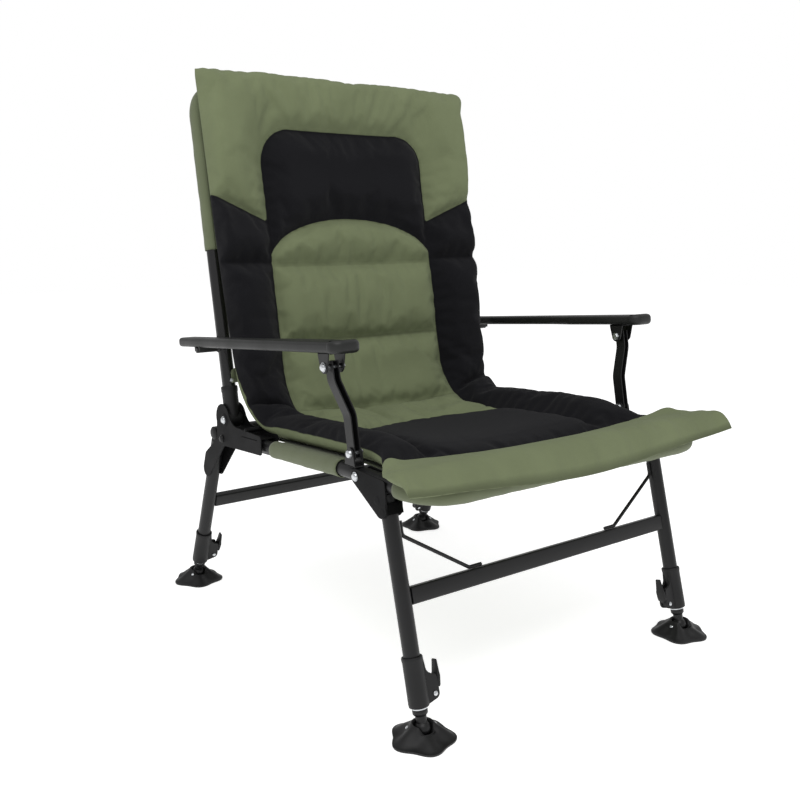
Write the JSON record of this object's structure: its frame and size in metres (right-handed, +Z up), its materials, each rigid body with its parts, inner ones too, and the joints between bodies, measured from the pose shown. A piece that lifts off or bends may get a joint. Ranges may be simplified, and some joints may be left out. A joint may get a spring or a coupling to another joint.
{
  "type": "folding chair",
  "caption": "Folding fishing chair with padded seat and reclining back, swing-linked armrests, fold-under leg frames, telescopic legs and tilting mud feet.",
  "frame": {"origin": "on the ground, in the middle of the four feet", "axes": "+Z up, -Y the way the sitter faces, +X towards the sitter's left"},
  "size_m": [0.7064, 0.861, 1.0074],
  "materials": {
    "frame_paint": "satin black powder coat",
    "back_tube_paint": "gloss black enamel",
    "zinc": "bright zinc plate",
    "black_plastic": "matte moulded plastic",
    "arm_plastic": "fine-grained moulded plastic",
    "olive_cloth": "woven polyester, matte",
    "padded_cloth": "woven polyester over soft filling, black and olive panels"
  },
  "bodies": {
    "seat_frame": {"seat_tube": "frame_paint", "rear_cross_tube": "frame_paint", "cross_tube_plug_right": "black_plastic", "recliner_bracket_right": "frame_paint", "recliner_hinge_bolt_right": "zinc", "strut_lug_right": "frame_paint", "front_leg_pivot_bolt_right": "zinc", "rear_leg_pivot_bolt_right": "frame_paint", "cross_tube_plug_left": "black_plastic", "recliner_bracket_left": "frame_paint", "recliner_hinge_bolt_left": "zinc", "strut_lug_left": "frame_paint", "front_leg_pivot_bolt_left": "zinc", "rear_leg_pivot_bolt_left": "frame_paint", "seat_sling": "olive_cloth", "seat_pad": "padded_cloth"},
    "backrest": {"back_tube": "back_tube_paint", "back_socket_right": "black_plastic", "arm_pin_right": "frame_paint", "back_socket_left": "black_plastic", "arm_pin_left": "frame_paint", "back_sling": "olive_cloth", "back_pad": "padded_cloth"},
    "front_legs": {"front_crossbar": "frame_paint", "front_leg_tube_right": "frame_paint", "front_leg_gusset_right": "frame_paint", "front_leg_collar_right": "black_plastic", "front_leg_tube_left": "frame_paint", "front_leg_gusset_left": "frame_paint", "front_leg_collar_left": "black_plastic", "leg_brace_right": "frame_paint", "leg_brace_left": "frame_paint"},
    "rear_legs": {"rear_crossbar": "frame_paint", "rear_leg_tube_right": "frame_paint", "rear_leg_gusset_right": "frame_paint", "rear_leg_collar_right": "black_plastic", "rear_leg_tube_left": "frame_paint", "rear_leg_gusset_left": "frame_paint", "rear_leg_collar_left": "black_plastic"},
    "front_lower_leg_right": {"front_inner_leg_right": "frame_paint"},
    "front_lever_right": {"front_collar_lever_right": "black_plastic"},
    "front_foot_right": {"front_foot_right": "black_plastic"},
    "front_lower_leg_left": {"front_inner_leg_left": "frame_paint"},
    "front_lever_left": {"front_collar_lever_left": "black_plastic"},
    "front_foot_left": {"front_foot_left": "black_plastic"},
    "rear_lower_leg_right": {"rear_inner_leg_right": "frame_paint"},
    "rear_lever_right": {"rear_collar_lever_right": "black_plastic"},
    "rear_foot_right": {"rear_foot_right": "black_plastic"},
    "rear_lower_leg_left": {"rear_inner_leg_left": "frame_paint"},
    "rear_lever_left": {"rear_collar_lever_left": "black_plastic"},
    "rear_foot_left": {"rear_foot_left": "black_plastic"},
    "arm_strut_right": {"arm_strut_right": "frame_paint"},
    "armrest_right": {"armrest_right": "arm_plastic", "arm_bracket_right": "frame_paint", "arm_bolt_right": "zinc"},
    "arm_strut_left": {"arm_strut_left": "frame_paint"},
    "armrest_left": {"armrest_left": "arm_plastic", "arm_bracket_left": "frame_paint", "arm_bolt_left": "zinc"}
  },
  "joints": [
    {"name": "back_recline", "type": "hinge", "parent": "seat_frame", "child": "backrest", "pos_m": [0, 0.195, 0.375], "axis": [1, 0, 0], "range_deg": [-35, 75]},
    {"name": "arm_strut_swing_right", "type": "hinge", "parent": "seat_frame", "child": "arm_strut_right", "pos_m": [-0.303, -0.222, 0.394], "axis": [1, 0, 0], "range_deg": [-35, 75]},
    {"name": "armrest_level_right", "type": "hinge", "parent": "arm_strut_right", "child": "armrest_right", "pos_m": [-0.3235, -0.196, 0.524], "axis": [1, 0, 0], "range_deg": [-75, 35]},
    {"name": "arm_strut_swing_left", "type": "hinge", "parent": "seat_frame", "child": "arm_strut_left", "pos_m": [0.303, -0.222, 0.394], "axis": [1, 0, 0], "range_deg": [-35, 75]},
    {"name": "armrest_level_left", "type": "hinge", "parent": "arm_strut_left", "child": "armrest_left", "pos_m": [0.3235, -0.196, 0.524], "axis": [1, 0, 0], "range_deg": [-75, 35]},
    {"name": "front_leg_fold", "type": "hinge", "parent": "seat_frame", "child": "front_legs", "pos_m": [0, -0.236, 0.362], "axis": [1, 0, 0], "range_deg": [0, 96]},
    {"name": "rear_leg_fold", "type": "hinge", "parent": "seat_frame", "child": "rear_legs", "pos_m": [0, 0.207, 0.33753], "axis": [1, 0, 0], "range_deg": [-100, 0]},
    {"name": "front_leg_extend_right", "type": "slide", "parent": "front_legs", "child": "front_lower_leg_right", "axis": [0, -0.2554, -0.9668], "range_m": [0, 0.1]},
    {"name": "front_lever_throw_right", "type": "hinge", "parent": "front_legs", "child": "front_lever_right", "pos_m": [-0.27, -0.37076, 0.05954], "axis": [0, 0.9668, -0.2554], "range_deg": [0, 100]},
    {"name": "front_foot_tilt_right", "type": "hinge", "parent": "front_lower_leg_right", "child": "front_foot_right", "pos_m": [-0.296, -0.382, 0.017], "axis": [1, 0, 0], "range_deg": [-15, 15]},
    {"name": "front_leg_extend_left", "type": "slide", "parent": "front_legs", "child": "front_lower_leg_left", "axis": [0, -0.2554, -0.9668], "range_m": [0, 0.1]},
    {"name": "front_lever_throw_left", "type": "hinge", "parent": "front_legs", "child": "front_lever_left", "pos_m": [0.27, -0.37076, 0.05954], "axis": [0, -0.9668, 0.2554], "range_deg": [0, 100]},
    {"name": "front_foot_tilt_left", "type": "hinge", "parent": "front_lower_leg_left", "child": "front_foot_left", "pos_m": [0.296, -0.382, 0.017], "axis": [1, 0, 0], "range_deg": [-15, 15]},
    {"name": "rear_leg_extend_right", "type": "slide", "parent": "rear_legs", "child": "rear_lower_leg_right", "axis": [0, 0.3665, -0.9304], "range_m": [0, 0.1]},
    {"name": "rear_lever_throw_right", "type": "hinge", "parent": "rear_legs", "child": "rear_lever_right", "pos_m": [-0.27, 0.36587, 0.05794], "axis": [0, 0.9304, 0.3665], "range_deg": [0, 100]},
    {"name": "rear_foot_tilt_right", "type": "hinge", "parent": "rear_lower_leg_right", "child": "rear_foot_right", "pos_m": [-0.296, 0.382, 0.017], "axis": [1, 0, 0], "range_deg": [-15, 15]},
    {"name": "rear_leg_extend_left", "type": "slide", "parent": "rear_legs", "child": "rear_lower_leg_left", "axis": [0, 0.3665, -0.9304], "range_m": [0, 0.1]},
    {"name": "rear_lever_throw_left", "type": "hinge", "parent": "rear_legs", "child": "rear_lever_left", "pos_m": [0.27, 0.36587, 0.05794], "axis": [0, -0.9304, -0.3665], "range_deg": [0, 100]},
    {"name": "rear_foot_tilt_left", "type": "hinge", "parent": "rear_lower_leg_left", "child": "rear_foot_left", "pos_m": [0.296, 0.382, 0.017], "axis": [1, 0, 0], "range_deg": [-15, 15]}
  ],
  "couplings": [
    {"joint": "arm_strut_swing_right", "follows": "back_recline", "ratio": 1},
    {"joint": "armrest_level_right", "follows": "back_recline", "ratio": -1},
    {"joint": "arm_strut_swing_left", "follows": "back_recline", "ratio": 1},
    {"joint": "armrest_level_left", "follows": "back_recline", "ratio": -1}
  ]
}
